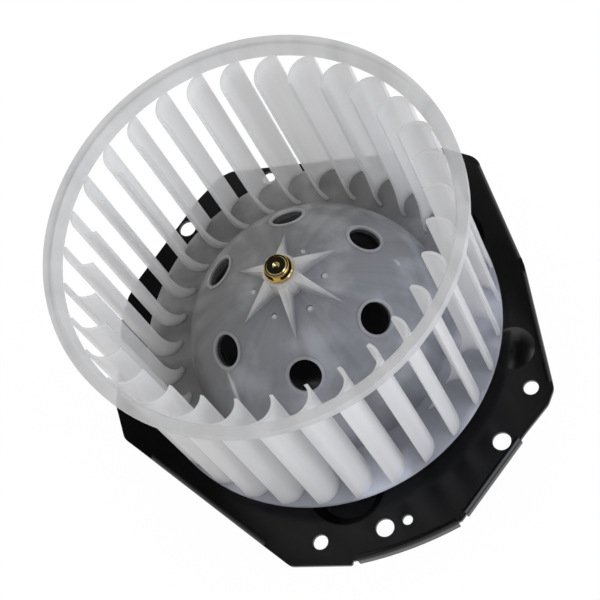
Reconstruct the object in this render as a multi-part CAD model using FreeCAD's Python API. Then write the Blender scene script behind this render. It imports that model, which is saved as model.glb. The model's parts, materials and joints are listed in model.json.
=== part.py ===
import FreeCAD
import Part
import math
import os

# Blower motor of a car's cabin heater: a squirrel cage wheel on the shaft of a
# small motor, hung by three soft mounts in a black pressed flange.
# Millimetres. Z is the shaft's axis and points out of the wheel's inlet.
# The origin is on the axis, in the flange's face on the wheel's side.

# Wheel, one moulding
ring_r = 75.0            # inlet ring, outside
ring_top_z = 101.0
ring_wall = 1.2
ring_skirt = 4.0         # height of the ring's outer wall
ring_band = 3.4          # width of the ring's nearly flat top
ring_step = 0.3          # groove inside that band
ring_depth = 5.2         # the ring's inner wall, top to lower edge
ring_foot = 2.1          # thickness of that lower edge
ring_slope = 1.6         # how far the inner wall leans inwards
blade_count = 31
blade_depth = 10.9       # rim to tip, along the radius
blade_t = 1.2
blade_lead = 22.0        # degrees, the tip's lean from the radius
blade_hook = 46.0        # degrees that the blade's foot bends on past the tip
blade_first = 4.3        # degrees, first blade's tip
blade_drop = 2.0         # how far the blade's top falls to its tip
blade_hold = 2.0         # how far its top rises again in the ring
foot_reach = 4.3         # foot's end to the tip, along the radius
foot_rise = 16.0         # height of the foot's flare
rim_inset = 4.8          # ring's outside to the blades' outer edges
plate_z = 8.4            # underside of the wheel's back plate
plate_t = 2.2
plate_lip = 0.1
dome_centre_z = 3.3
dome_t = 2.0
dome_clear = 7.9         # air between the dome and the motor's shoulder
hole_r = 6.0             # balance holes in the dome
hole_count = 6
hole_tilt = 39.0         # degrees from the axis
hole_first = 37.7
hole_rim_w = 1.2
hole_rim_h = 0.6
rib_w = 3.6              # gusset ribs of the hub, at the hub
rib_tip_w = 0.4
rib_reach = 15.0
rib_drop = 0.8           # hub's top to the ribs' top
dot_r = 1.3
dot_circle_r = 13.5
dot_first = 8.0
dot_depth = 0.3
hub_r = 6.5
hub_z0 = 46.0
hub_z1 = 64.8

# Brass bush in the hub, and the shaft
bush_r = 5.0
bush_flange_t = 2.0
bush_flange_r = 5.5
bush_neck_h = 2.2
bush_neck_wall = 0.5
shaft_r = 4.0
shaft_proud = 0.3
shaft_chamfer = 0.5
shaft_end_gap = 0.5
dimple_r = 1.35
dimple_depth = 1.2
fit_gap = 0.02           # a press or a slip fit, per side
run_gap = 0.04           # a running fit, per side

# Motor
case_r = 38.0
case_t = 1.6
case_top_z = 31.0
case_bottom_z = -46.0
case_bend_r = 10.0
case_vent_r = 3.5
case_vents = 6
bearing_r = 8.0
bearing_l = 9.0
retainer_r = 13.5
retainer_t = 0.8
washer_t = 0.6
end_play = 0.4
cap_h = 10.0
cap_wall = 2.0
cap_floor = 2.0
cap_edge_r = 3.0
cap_spigot_h = 7.0
cap_slots = 6
cap_slot_w = 4.0
cap_slot_l = 9.0
cap_slot_in = 15.0         # case's outside to the slots' middle
cap_screws = 3
cap_screw_r = 1.4
cap_screw_l = 9.0
cap_screw_head_r = 2.8
cap_screw_head_t = 1.8
cap_boss_r = 3.0
magnet_t = 7.0
magnet_l = 38.0
magnet_arc = 130.0
clip_t = 1.0
clip_l = 30.0
air_gap = 0.7
core_l = 30.0
core_mid_z = 1.0
core_slots = 12
slot_mouth_w = 2.4
slot_lip = 2.6
tooth_w = 4.3
yoke = 11.1              # shaft to the slots
winding_gap = 0.3
winding_h = 8.0
winding_round = 3.0
insulator_r = 11.5
insulator_t = 1.0
sleeve_wall = 2.0
comm_r = 11.0
comm_wall = 2.0
comm_edge = 0.8          # bars past the brushes, each way
comm_slit = 0.6
riser_r = 12.6
riser_t = 1.5
card_t = 2.0
card_hole_gap = 2.5
brush_w = 6.0
brush_h = 9.0
brush_gap = 0.3          # brush to commutator, and brush to its holder
brush_travel = 3.0
holder_wall = 0.8
holder_gap = 0.15
holder_start = 3.0       # commutator to holder
holder_clear = 4.4       # holder to the end cap's wall
spring_l = 6.2           # brush spring, seated
spring_w = 4.0
spring_t = 0.4
choke_r = 3.0
choke_l = 14.0
choke_clear = 12.4       # choke's middle to the end cap's wall

# Socket of the motor, on the side of its end cap
socket_w = 20.0
socket_h = 12.0
socket_l = 20.0
socket_wall = 1.8
socket_depth = 16.0
socket_z = -49.4
tongue_w = 16.4          # tongue in the end cap's window
tongue_h = 5.0
tongue_past = 0.8
blade_w = 6.3            # its two flat terminals
terminal_t = 0.8
terminal_pitch = 8.0
terminal_inset = 4.0     # mouth to the terminals' ends
terminal_in = 3.6        # tongue's end to the terminals' rise

# Flange, a pressed and painted sheet
sheet = 1.6
opening_gap = 2.5        # motor's bracket to the opening's edge
pocket_r = 15.0
pocket_floor_r = 11.0
pocket_depth = 5.0
pocket_web = 2.3
mounts = 3
mount_first = 98.0       # degrees
bump_x = -72.3
bump_y = 10.0
bump_r = 8.5
bump_h = 2.5
lip_bend_r = 2.2
lip_start = 3.0          # corner to the fold's end
# Corners of the outline, anticlockwise: x, y, corner radius, and the depth of
# the folded edge that starts there
corners_right = (
    (86.5, -17.5, 3.0, 0), (86.3, 20.5, 4.0, 0), (81.8, 34.6, 5.0, 0),
    (73.0, 41.5, 2.0, 2.6), (20.8, 83.0, 2.0, 0), (12.4, 89.6, 4.0, 0),
    (-11.2, 90.4, 1.0, 0))
arc_lip = ((-11.4, 88.8), (-33.0, 83.6), (-52.0, 75.8))
corners_left = (
    (-76.2, 43.9, 1.0, 0), (-84.9, 33.5, 5.0, 0), (-87.2, 27.5, 5.0, 2.6),
    (-77.6, -24.5, 20.0, 2.6), (-60.3, -73.0, 8.0, 0), (-46.0, -79.3, 5.0, 0),
    (42.5, -79.5, 4.0, 0), (47.5, -77.5, 2.0, 0), (56.5, -68.0, 4.0, 0),
    (80.3, -34.5, 6.0, 0), (84.3, -27.0, 6.0, 0))
arc_lip_depth = 5.5
next_lip_depth = 4.5     # fold of the straight edge after the arc
screw_hole_r = 2.9
locating_hole_r = 3.5
pilot_hole_r = 1.95
screw_holes = ((-78.7, 26.4), (1.0, 81.0), (26.2, -74.6))
locating_holes = ((-67.3, 46.6), (-23.4, 76.9), (60.4, -55.3))
pilot_holes = ((-31.9, 74.4),)

# Soft mounts between the flange and the motor's bracket
bracket_t = 1.5
bracket_collar_h = 8.0
ear_r = 10.0
ear_hole_r = 6.0
grommet_r = 9.0
grommet_flange = 3.0
spacer_wall = 0.9
bolt_r = 2.5
bolt_gap = 0.2
hex_af = 8.0
head_t = 3.5
nut_t = 4.0
bolt_past = 1.5
lock_washer_r = 5.5
lock_washer_t = 1.2

# Sizes that follow from those
ring_out_band_r = ring_r - ring_band - ring_step
ring_in_r = ring_out_band_r - ring_slope
ring_low_z = ring_top_z - ring_depth
rim_r = ring_r - rim_inset
tip_r = rim_r - blade_depth
blade_out_r = rim_r - blade_t / 2
blade_sin = math.sin(math.radians(blade_lead))
# Centre line of a bend that leans at the tip and runs along the rim
blade_bend_r = (blade_out_r ** 2 - tip_r ** 2) / (2 * (blade_out_r + tip_r * blade_sin))
plate_r = rim_r + plate_lip
plate_top_z = plate_z + plate_t
shoulder_z = case_top_z - case_bend_r
dome_in_r = math.hypot(case_r, shoulder_z - dome_centre_z) + dome_clear
dome_r = dome_in_r + dome_t
bush_flange_z = hub_z1 + bush_flange_t
bush_top_z = bush_flange_z + bush_neck_h
bush_neck_r = shaft_r + fit_gap + bush_neck_wall
shaft_top_z = bush_top_z + shaft_proud
case_in_r = case_r - case_t
case_roof_z = case_top_z - case_t
tower_r = bearing_r + fit_gap + case_t
tower_in_r = bearing_r + fit_gap
tower_top_z = case_roof_z + bearing_l + case_t
cap_bottom_z = case_bottom_z - cap_h
cap_floor_z = cap_bottom_z + cap_floor
shaft_bottom_z = cap_floor_z + shaft_end_gap
spigot_r = case_in_r - fit_gap
spigot_in_r = spigot_r - cap_wall
spigot_top_z = case_bottom_z + cap_spigot_h
lower_bearing_z = cap_floor_z + shaft_end_gap + 0.5
lower_retainer_z = lower_bearing_z + bearing_l
upper_play_z = case_roof_z - retainer_t - end_play
lower_play_z = lower_retainer_z + retainer_t + end_play
magnet_in_r = case_in_r - fit_gap - magnet_t
core_r = magnet_in_r - air_gap
core_z0 = core_mid_z - core_l / 2
core_z1 = core_mid_z + core_l / 2
slot_out_r = core_r - slot_lip
slot_in_r = shaft_r + yoke
pitch_tan = math.tan(math.pi / core_slots)
slot_w_out = 2 * slot_out_r * pitch_tan - tooth_w
slot_w_in = 2 * slot_in_r * pitch_tan - tooth_w
case_vent_circle_r = (tower_r + case_r - case_bend_r) / 2
cap_slot_r = case_r - cap_slot_in
choke_y = spigot_in_r - choke_clear
tongue_end_y = math.sqrt(spigot_in_r ** 2 - (tongue_w / 2) ** 2) - tongue_past
terminal_rise_y = tongue_end_y - terminal_in
card_z0 = spigot_top_z
card_z1 = card_z0 + card_t
holder_in_w = brush_w + 2 * holder_gap
holder_in_h = brush_h + 2 * holder_gap
holder_h = holder_in_h + 2 * holder_wall
brush_z = card_z1 + holder_h / 2
brush_x0 = comm_r + brush_gap
holder_x0 = comm_r + holder_start
holder_x1 = spigot_in_r - holder_clear
brush_x1 = holder_x1 - holder_wall - spring_l
comm_z0 = brush_z - brush_h / 2 - comm_edge
comm_z1 = brush_z + brush_h / 2 + comm_edge + riser_t
collar_r = case_r + fit_gap + bracket_t
opening_r = collar_r + opening_gap
pocket_out_r = pocket_r + sheet * 0.8
mount_r = opening_r + pocket_web + pocket_out_r
pocket_floor_z = -pocket_depth
pocket_under_z = -pocket_depth - sheet
ear_top_z = pocket_under_z - grommet_flange
ear_z = ear_top_z - bracket_t
grommet_z = ear_z - grommet_flange
nut_top_z = grommet_z - lock_washer_t
bolt_end_z = nut_top_z - nut_t - bolt_past
spacer_in_r = bolt_r + bolt_gap
spacer_r = spacer_in_r + spacer_wall
cap_screw_z = (case_bottom_z + spigot_top_z) / 2
socket_mouth_y = -(case_r + socket_l)


def vec(x, y, z):
    return FreeCAD.Vector(x, y, z)


def turned(shape, degrees):
    copy = shape.copy()
    copy.rotate(vec(0, 0, 0), vec(0, 0, 1), degrees)
    return copy


def moved(shape, x, y, z):
    copy = shape.copy()
    copy.translate(vec(x, y, z))
    return copy


def pattern(shape, count, first=0.0):
    return [turned(shape, first + 360.0 * i / count) for i in range(count)]


def disc(r, z0, z1, x=0.0, y=0.0):
    return Part.makeCylinder(r, z1 - z0, vec(x, y, z0))


def tube(r_out, r_in, z0, z1, x=0.0, y=0.0):
    return disc(r_out, z0, z1, x, y).cut(disc(r_in, z0 - 1, z1 + 1, x, y))


def block(x0, x1, y0, y1, z0, z1):
    return Part.makeBox(x1 - x0, y1 - y0, z1 - z0, vec(x0, y0, z0))


def radial_rod(r, start, end, z):
    return Part.makeCylinder(r, end - start, vec(start, 0, z), vec(1, 0, 0))


def hexagon(across_flats, z0, z1):
    corner = across_flats / math.sqrt(3)
    points = []
    for i in range(7):
        angle = math.radians(60 * i)
        points.append(vec(corner * math.cos(angle), corner * math.sin(angle), z0))
    return Part.Face(Part.makePolygon(points)).extrude(vec(0, 0, z1 - z0))


def closed_face(place, start, *steps):
    """Face of a closed outline. A step is a point, or for an arc a pair of
    points, the one it passes and the one it ends at."""
    edges = []
    here = start
    for step in steps + (start,):
        if isinstance(step[0], tuple):
            edges.append(Part.Arc(place(here), place(step[0]), place(step[1])).toShape())
            here = step[1]
        elif step != here:
            edges.append(Part.makeLine(place(here), place(step)))
            here = step
    return Part.Face(Part.Wire(edges))


def revolved(start, *steps):
    """Solid turned about Z from an outline of radius and height."""
    face = closed_face(lambda p: vec(p[0], 0, p[1]), start, *steps)
    return face.revolve(vec(0, 0, 0), vec(0, 0, 1), 360)


def flat(z0, z1, start, *steps):
    """Solid between two heights from an outline in x and y."""
    face = closed_face(lambda p: vec(p[0], p[1], z0), start, *steps)
    return face.extrude(vec(0, 0, z1 - z0))


def on_circle(r, degrees):
    angle = math.radians(degrees)
    return (r * math.cos(angle), r * math.sin(angle))


def sphere_z(r_sphere, r):
    """Height of a sphere about the dome's centre, at radius r."""
    return dome_centre_z + math.sqrt(r_sphere ** 2 - r ** 2)


def sphere_at_z(r_sphere, z):
    return math.sqrt(r_sphere ** 2 - (z - dome_centre_z) ** 2)


def sphere_mid(r_sphere, p, q):
    """Point of that sphere half way between two others, by their angle."""
    middle = (math.atan2(p[1] - dome_centre_z, p[0]) + math.atan2(q[1] - dome_centre_z, q[0])) / 2
    return (r_sphere * math.cos(middle), dome_centre_z + r_sphere * math.sin(middle))


# Wheel
def wheel_shell():
    """Back plate, dome and hub in one turned section."""
    outer_low = (sphere_at_z(dome_r, plate_top_z), plate_top_z)
    outer_high = (hub_r, sphere_z(dome_r, hub_r))
    inner_high = (hub_r, sphere_z(dome_in_r, hub_r))
    inner_low = (sphere_at_z(dome_in_r, plate_z), plate_z)
    return revolved(
        (plate_r, plate_z), (plate_r, plate_top_z), outer_low,
        (sphere_mid(dome_r, outer_low, outer_high), outer_high),
        (hub_r, hub_z1), (bush_r, hub_z1), (bush_r, hub_z0), (hub_r, hub_z0), inner_high,
        (sphere_mid(dome_in_r, inner_high, inner_low), inner_low))


def wheel_ring():
    """Inlet ring: an outer skirt, a flat band and a sloping inner wall."""
    roof_z = ring_top_z - ring_wall - ring_step
    skirt_z = ring_top_z - ring_skirt
    return revolved(
        (ring_r, skirt_z), (ring_r, ring_top_z), (ring_out_band_r + ring_step, ring_top_z),
        (ring_out_band_r, ring_top_z - ring_step), (ring_in_r, ring_low_z),
        (ring_in_r + ring_foot, ring_low_z), (ring_out_band_r + ring_wall, roof_z),
        (ring_r - ring_wall, roof_z), (ring_r - ring_wall, skirt_z))


def blade():
    """One blade: a bend from the rim to the tip, and on into its foot."""
    centre_x = tip_r + blade_bend_r * blade_sin
    centre_y = -blade_bend_r * math.cos(math.radians(blade_lead))
    first = 90 + blade_lead + blade_hook
    last = math.degrees(math.atan2(centre_y, centre_x))

    def on_bend(degrees, offset):
        x, y = on_circle(blade_bend_r + offset, degrees)
        return (centre_x + x, centre_y + y)

    half = blade_t / 2
    middle = (first + last) / 2
    low_z = plate_z + plate_t / 2
    body = flat(
        low_z, ring_top_z,
        on_bend(first, -half), (on_bend(middle, -half), on_bend(last, -half)),
        on_bend(last, half), (on_bend(middle, half), on_bend(first, half)))
    foot_r = tip_r - foot_reach
    flare = (tip_r - foot_reach / 4, plate_top_z + foot_rise / 2)
    envelope = revolved(
        (foot_r, plate_top_z), (flare, (tip_r, plate_top_z + foot_rise)),
        (tip_r, ring_low_z - blade_drop), (ring_in_r, ring_low_z),
        (rim_r + 1, ring_low_z + blade_hold), (rim_r + 1, low_z), (foot_r, low_z))
    return body.common(envelope)


def dome_place(shape):
    """Stands a shape on the dome at the balance hole's tilt, its z along the normal."""
    copy = shape.copy()
    copy.rotate(vec(0, 0, 0), vec(0, 1, 0), hole_tilt)
    copy.translate(vec(0, 0, dome_centre_z))
    return copy


def hub_rib():
    """Gusset from the hub's top down to the dome."""
    start_r = hub_r - 1
    end_r = hub_r + rib_reach

    def end_face(r, width, top):
        low = sphere_z(dome_r - dome_t / 2, r)
        points = [vec(r, -width / 2, low), vec(r, width / 2, low),
                  vec(r, width / 2, top), vec(r, -width / 2, top)]
        return Part.makePolygon(points + points[:1])

    rib = Part.makeLoft([
        end_face(start_r, rib_w, hub_z1 - rib_drop),
        end_face(end_r, rib_tip_w, sphere_z(dome_r, end_r) + 0.1)], True, True)
    return rib.cut(Part.makeSphere(dome_in_r, vec(0, 0, dome_centre_z)))


def make_blower_wheel():
    rim_top = math.sqrt(dome_r ** 2 - (hole_r + hole_rim_w) ** 2) + hole_rim_h
    rim = dome_place(disc(hole_r + hole_rim_w, dome_in_r + dome_t / 4, rim_top))
    bore = dome_place(disc(hole_r, dome_in_r - 5, dome_r + 5))
    dot = disc(dot_r, sphere_z(dome_r, dot_circle_r) - dot_depth, hub_z1, dot_circle_r)
    shell = wheel_shell().multiFuse(
        pattern(hub_rib(), hole_count, hole_first) + pattern(rim, hole_count, hole_first))
    shell = shell.cut(Part.makeCompound(pattern(bore, hole_count, hole_first)))
    shell = shell.cut(Part.makeCompound(pattern(dot, hole_count, dot_first)))
    wheel = shell.multiFuse([wheel_ring()] + pattern(blade(), blade_count, blade_first))
    return wheel.removeSplitter()


def make_hub_bush():
    bore = shaft_r + fit_gap
    edge = 0.4
    return revolved(
        (bore, hub_z0), (bush_r - fit_gap, hub_z0), (bush_r - fit_gap, hub_z1),
        (bush_flange_r - edge, hub_z1), (bush_flange_r, hub_z1 + edge),
        (bush_flange_r, bush_flange_z - edge), (bush_flange_r - edge, bush_flange_z),
        (bush_neck_r, bush_flange_z), (bush_neck_r, bush_top_z - edge / 2),
        (bush_neck_r - edge / 2, bush_top_z), (bore, bush_top_z))


def make_shaft():
    top = shaft_top_z - dimple_depth
    return revolved(
        (0, shaft_bottom_z), (shaft_r - shaft_chamfer, shaft_bottom_z),
        (shaft_r, shaft_bottom_z + shaft_chamfer), (shaft_r, shaft_top_z - shaft_chamfer),
        (shaft_r - shaft_chamfer, shaft_top_z), (dimple_r, shaft_top_z), (0, top))


# Motor
def make_motor_case():
    """Drawn can with a bearing tower, open at the end cap's side."""
    lean = math.sqrt(0.5)
    inner_bend = case_bend_r - case_t
    bend_mid = (case_r - case_bend_r * (1 - lean), shoulder_z + case_bend_r * lean)
    inner_mid = (case_in_r - inner_bend * (1 - lean), shoulder_z + inner_bend * lean)
    mouth = shaft_r + 1
    can = revolved(
        (case_r, case_bottom_z), (case_r, shoulder_z),
        bend_mid, (case_r - case_bend_r, case_top_z), (tower_r, case_top_z),
        (tower_r, tower_top_z), (mouth, tower_top_z), (mouth, tower_top_z - case_t),
        (tower_in_r, tower_top_z - case_t), (tower_in_r, case_roof_z),
        (case_in_r - inner_bend, case_roof_z), inner_mid, (case_in_r, shoulder_z),
        (case_in_r, case_bottom_z))
    vent = disc(case_vent_r, case_roof_z - 1, case_top_z + 1, case_vent_circle_r)
    screw = radial_rod(cap_screw_r + fit_gap, case_in_r - 1, case_r + 1, cap_screw_z)
    cuts = pattern(vent, case_vents) + pattern(screw, cap_screws, 90)
    return can.cut(Part.makeCompound(cuts))


def make_end_cap():
    """Moulded end shield. It carries the lower bearing and closes the can."""
    lean = math.sqrt(0.5)
    seat_r = bearing_r + fit_gap
    pillar_r = seat_r + cap_wall
    edge_mid = (case_r - cap_edge_r * (1 - lean), cap_bottom_z + cap_edge_r * (1 - lean))
    wall_r = spigot_in_r
    cap = revolved(
        (0, cap_bottom_z), (case_r - cap_edge_r, cap_bottom_z),
        edge_mid, (case_r, cap_bottom_z + cap_edge_r), (case_r, case_bottom_z),
        (spigot_r, case_bottom_z), (spigot_r, spigot_top_z), (wall_r, spigot_top_z),
        (wall_r, cap_floor_z), (pillar_r, cap_floor_z), (pillar_r, lower_retainer_z),
        (seat_r, lower_retainer_z), (seat_r, lower_bearing_z), (shaft_r + 1, lower_bearing_z),
        (shaft_r + 1, cap_floor_z), (0, cap_floor_z))
    boss = radial_rod(cap_boss_r, case_r - cap_screw_l, wall_r + cap_wall / 2, cap_screw_z)
    bore = radial_rod(cap_screw_r, case_r - cap_screw_l - 1, case_r + 1, cap_screw_z)
    slot = block(cap_slot_r - cap_slot_l / 2, cap_slot_r + cap_slot_l / 2,
                 -cap_slot_w / 2, cap_slot_w / 2, cap_bottom_z - 1, cap_floor_z + 1)
    window = socket_tongue(fit_gap)
    cap = cap.multiFuse(pattern(boss, cap_screws, 90))
    cuts = pattern(bore, cap_screws, 90) + pattern(slot, cap_slots, 0) + [window]
    return cap.cut(Part.makeCompound(cuts))


def make_end_cap_screws():
    shank = radial_rod(cap_screw_r - fit_gap, case_r - cap_screw_l + 1, case_r + 1, cap_screw_z)
    head = radial_rod(cap_screw_head_r, case_r, case_r + cap_screw_head_t, cap_screw_z)
    # The head's underside follows the can
    head = head.cut(disc(case_r, cap_screw_z - 5, cap_screw_z + 5))
    return Part.makeCompound(pattern(shank.fuse(head), cap_screws, 90))


def bearing(z):
    edge = 1.0
    bore = shaft_r + run_gap
    return revolved(
        (bore, z), (bearing_r - edge, z), (bearing_r, z + edge), (bearing_r, z + bearing_l - edge),
        (bearing_r - edge, z + bearing_l), (bore, z + bearing_l))


def make_upper_bearing():
    return bearing(case_roof_z)


def make_lower_bearing():
    return bearing(lower_bearing_z)


def retainer(z):
    """Spring plate with slit fingers round the bearing."""
    plate = tube(retainer_r, shaft_r + 1, z, z + retainer_t)
    slit = block(bearing_r - 1.5, retainer_r - 1.5, -0.6, 0.6, z - 1, z + retainer_t + 1)
    return plate.cut(Part.makeCompound(pattern(slit, 8)))


def make_upper_retainer():
    return retainer(case_roof_z - retainer_t)


def make_lower_retainer():
    return retainer(lower_retainer_z)


def arc_piece(r_out, r_in, degrees, z0, z1):
    """Part of a tube, centred on +X."""
    a, b = -degrees / 2, degrees / 2
    return flat(
        z0, z1, on_circle(r_in, a), on_circle(r_out, a), (on_circle(r_out, 0), on_circle(r_out, b)),
        on_circle(r_in, b), (on_circle(r_in, 0), on_circle(r_in, a)))


def magnet():
    z0 = core_mid_z - magnet_l / 2
    return arc_piece(case_in_r - fit_gap, magnet_in_r, magnet_arc, z0, z0 + magnet_l)


def make_magnet_a():
    return turned(magnet(), 90)


def make_magnet_b():
    return turned(magnet(), 270)


def make_magnet_clips():
    z0 = core_mid_z - clip_l / 2
    arc = 180 - magnet_arc - 0.6
    strip = arc_piece(case_in_r - fit_gap, case_in_r - fit_gap - clip_t, arc, z0, z0 + clip_l)
    return Part.makeCompound(pattern(strip, 2))


def slot_form(inset, z0, z1):
    """Armature slot in plan, or the coil side in it with a gap all round."""
    w_in, w_out = slot_w_in / 2 - inset, slot_w_out / 2 - inset
    a, b = slot_in_r + inset, slot_out_r - inset
    return flat(z0, z1, (a, -w_in), (b, -w_out), (b, w_out), (a, w_in))


def make_armature_core():
    core = tube(core_r, shaft_r + fit_gap, core_z0, core_z1)
    slot = slot_form(0, core_z0 - 1, core_z1 + 1)
    mouth = block(slot_out_r - 1, core_r + 1, -slot_mouth_w / 2, slot_mouth_w / 2,
                  core_z0 - 1, core_z1 + 1)
    slots = pattern(slot.fuse(mouth), core_slots)
    return core.cut(Part.makeCompound(slots))


def make_armature_winding():
    """Coil sides in the slots, joined by the end turns."""
    a, b = insulator_r + winding_gap, slot_out_r - winding_gap
    c = winding_round

    def end_turns(near, far):
        bend = c if far > near else -c
        return revolved((a, near), (b, near), (b, far - bend), (b - c, far), (a + c, far), (a, far - bend))

    legs = pattern(slot_form(winding_gap, core_z0 - 1, core_z1 + 1), core_slots)
    return end_turns(core_z1, core_z1 + winding_h).multiFuse(
        [end_turns(core_z0, core_z0 - winding_h)] + legs)


def make_end_insulators():
    """Plate and sleeve on each end of the core."""
    bore = shaft_r + fit_gap
    sleeve = bore + sleeve_wall
    upper = revolved(
        (bore, core_z1), (insulator_r, core_z1), (insulator_r, core_z1 + insulator_t),
        (sleeve, core_z1 + insulator_t), (sleeve, upper_play_z - washer_t),
        (bore, upper_play_z - washer_t))
    lower = revolved(
        (bore, core_z0), (insulator_r, core_z0), (insulator_r, core_z0 - insulator_t),
        (sleeve, core_z0 - insulator_t), (sleeve, comm_z1), (bore, comm_z1))
    return Part.makeCompound([upper, lower])


def make_commutator_hub():
    bore = shaft_r + fit_gap
    sleeve = bore + sleeve_wall
    body_r = comm_r - comm_wall
    return revolved(
        (bore, lower_play_z + washer_t), (sleeve, lower_play_z + washer_t), (sleeve, comm_z0),
        (body_r, comm_z0), (body_r, comm_z1), (bore, comm_z1))


def make_commutator_bars():
    ring = revolved(
        (comm_r - comm_wall, comm_z0), (comm_r, comm_z0), (comm_r, comm_z1 - riser_t),
        (riser_r, comm_z1 - riser_t), (riser_r, comm_z1), (comm_r - comm_wall, comm_z1))
    slit = block(0, riser_r + 1, -comm_slit / 2, comm_slit / 2, comm_z0 - 1, comm_z1 + 1)
    return ring.cut(Part.makeCompound(pattern(slit, core_slots, 180.0 / core_slots)))


def make_thrust_washers():
    bore = shaft_r + fit_gap
    outer = bore + sleeve_wall
    upper = tube(outer, bore, upper_play_z - washer_t, upper_play_z)
    lower = tube(outer, bore, lower_play_z, lower_play_z + washer_t)
    return Part.makeCompound([upper, lower])


def make_brush_card():
    card = tube(spigot_r, comm_r + card_hole_gap, card_z0, card_z1)
    notch = block(spigot_r - 3, spigot_r + 1, -4, 4, card_z0 - 1, card_z1 + 1)
    return card.cut(Part.makeCompound(pattern(notch, 2, 45)))


def brush_holder():
    """Brass box, open towards the commutator."""
    half_w = holder_in_w / 2 + holder_wall
    box = block(holder_x0, holder_x1, -half_w, half_w, card_z1, card_z1 + holder_h)
    inside = block(holder_x0 - 1, holder_x1 - holder_wall, -holder_in_w / 2, holder_in_w / 2,
                   card_z1 + holder_wall, card_z1 + holder_h - holder_wall)
    return box.cut(inside)


def make_brush_holder_a():
    return brush_holder()


def make_brush_holder_b():
    return turned(brush_holder(), 180)


def brush():
    """Carbon block with its face hollowed to the commutator's round."""
    body = block(comm_r - 1, brush_x1, -brush_w / 2, brush_w / 2,
                 brush_z - brush_h / 2, brush_z + brush_h / 2)
    return body.cut(disc(brush_x0, brush_z - brush_h, brush_z + brush_h))


def make_brush_a():
    return brush()


def make_brush_b():
    return turned(brush(), 180)


def brush_spring():
    """Hairpin leaf between the brush and the holder's closed end."""
    half = brush_w / 2 - spring_t
    inner = half - spring_t
    near, far = brush_x1, brush_x1 + spring_l
    return flat(
        brush_z - spring_w / 2, brush_z + spring_w / 2,
        (far, -half), (near + half, -half), ((near, 0.0), (near + half, half)), (far, half),
        (far, inner), (near + half, inner), ((near + spring_t, 0.0), (near + half, -inner)),
        (far, -inner))


def make_brush_spring_a():
    return brush_spring()


def make_brush_spring_b():
    return turned(brush_spring(), 180)


def make_choke_coils():
    coil = Part.makeCylinder(choke_r, choke_l, vec(-choke_l / 2, choke_y, card_z1 + choke_r), vec(1, 0, 0))
    return Part.makeCompound(pattern(coil, 2))


# Socket
def socket_tongue(gap):
    """The socket's tongue, or with a gap the end cap's window for it."""
    half_w = tongue_w / 2 + gap
    return block(-half_w, half_w, -case_r, gap - tongue_end_y,
                 socket_z - tongue_h / 2 - gap, socket_z + tongue_h / 2 + gap)


def terminal_row(gap):
    """The two terminals, or with a gap the slots that they pass through."""
    half_t = terminal_t / 2 + gap
    run = block(-blade_w / 2 - gap, blade_w / 2 + gap, socket_mouth_y + terminal_inset,
                -terminal_rise_y, socket_z - half_t, socket_z + half_t)
    rise = block(-blade_w / 2, blade_w / 2, -terminal_rise_y - terminal_t, -terminal_rise_y,
                 socket_z - terminal_t / 2, card_z0)
    blade_form = run if gap else run.fuse(rise)
    return [moved(blade_form, side * terminal_pitch / 2, 0, 0) for side in (-1, 1)]


def make_connector_housing():
    body = block(-socket_w / 2, socket_w / 2, socket_mouth_y, -case_r / 2,
                 socket_z - socket_h / 2, socket_z + socket_h / 2)
    body = body.cut(disc(case_r, cap_bottom_z - 1, 0)).fuse(socket_tongue(0))
    inner_w = socket_w / 2 - socket_wall
    inner_h = socket_h / 2 - socket_wall
    mouth = block(-inner_w, inner_w, socket_mouth_y - 1, socket_mouth_y + socket_depth,
                  socket_z - inner_h, socket_z + inner_h)
    return body.cut(Part.makeCompound([mouth] + terminal_row(fit_gap)))


def make_terminals():
    return Part.makeCompound(terminal_row(0))


# Soft mounts
def at_mounts(shape):
    return pattern(moved(shape, mount_r, 0, 0), mounts, mount_first)


def make_motor_bracket():
    """Collar pressed on the can, with three ears."""
    collar = tube(collar_r, case_r + fit_gap, ear_z, ear_z + bracket_collar_h)
    ear = block(case_r + bracket_t, mount_r, -ear_r, ear_r, ear_z, ear_top_z)
    ear = ear.fuse(disc(ear_r, ear_z, ear_top_z, mount_r))
    hole = disc(ear_hole_r, ear_z - 1, ear_top_z + 1, mount_r)
    whole = collar.multiFuse(
        [tube(opening_r, case_r + fit_gap, ear_z, ear_top_z)] + pattern(ear, mounts, mount_first))
    whole = whole.cut(Part.makeCompound(pattern(hole, mounts, mount_first)))
    return whole.cut(disc(case_r + fit_gap, ear_z - 1, 0)).removeSplitter()


def make_isolator_grommets():
    waist = ear_hole_r - fit_gap
    bore = spacer_r + fit_gap
    grommet = revolved(
        (bore, grommet_z), (grommet_r, grommet_z), (grommet_r, ear_z), (waist, ear_z),
        (waist, ear_top_z), (grommet_r, ear_top_z), (grommet_r, pocket_under_z),
        (bore, pocket_under_z))
    return Part.makeCompound(at_mounts(grommet))


def make_spacer_sleeves():
    return Part.makeCompound(at_mounts(tube(spacer_r, spacer_in_r, grommet_z, pocket_under_z)))


def make_mount_screws():
    head = hexagon(hex_af, pocket_floor_z, pocket_floor_z + head_t)
    crown = revolved(
        (0, pocket_floor_z), (hex_af, pocket_floor_z), (hex_af, pocket_floor_z + head_t * 0.75),
        (hex_af / 2, pocket_floor_z + head_t), (0, pocket_floor_z + head_t))
    shank = disc(bolt_r, bolt_end_z, pocket_floor_z)
    return Part.makeCompound(at_mounts(head.common(crown).fuse(shank)))


def make_mount_washers():
    washer = tube(lock_washer_r, bolt_r + bolt_gap, nut_top_z, grommet_z)
    return Part.makeCompound(at_mounts(washer))


def make_mount_nuts():
    nut = hexagon(hex_af, nut_top_z - nut_t, nut_top_z)
    nut = nut.cut(disc(bolt_r + fit_gap, nut_top_z - nut_t - 1, nut_top_z + 1))
    return Part.makeCompound(at_mounts(nut))


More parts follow.
